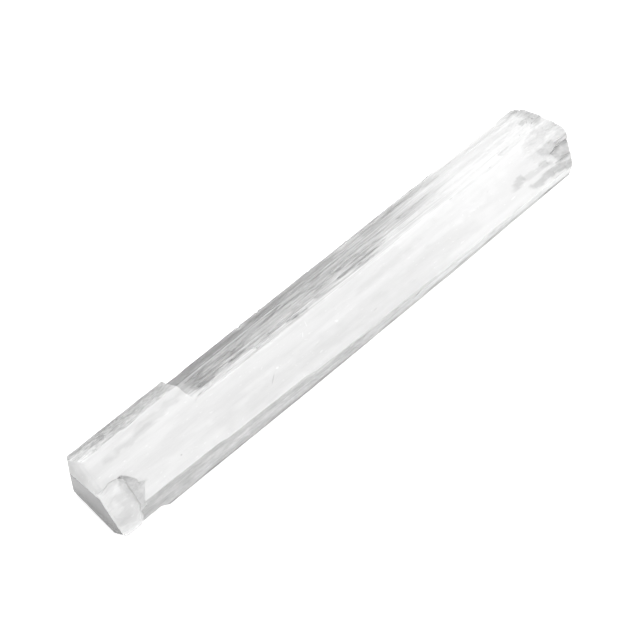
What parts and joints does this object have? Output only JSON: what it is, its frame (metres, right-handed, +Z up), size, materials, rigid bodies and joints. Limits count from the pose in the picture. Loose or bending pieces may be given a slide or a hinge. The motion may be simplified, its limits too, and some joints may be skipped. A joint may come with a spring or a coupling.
{
  "type": "selenite crystal blade",
  "caption": "Raw selenite crystal blade: a long, flat-faced milky crystal with a chisel end, a split recess along its back, a small crystal grown into one corner and a splintered end.",
  "frame": {"origin": "middle of the blade's length and width, on the surface that it lies on", "axes": "+X along the blade towards its splintered end, +Y towards the split side, +Z up"},
  "size_m": [0.1501, 0.024, 0.0168],
  "materials": {
    "selenite": "satin"
  },
  "bodies": {
    "root": {"selenite_blade": "selenite"}
  },
  "joints": []
}
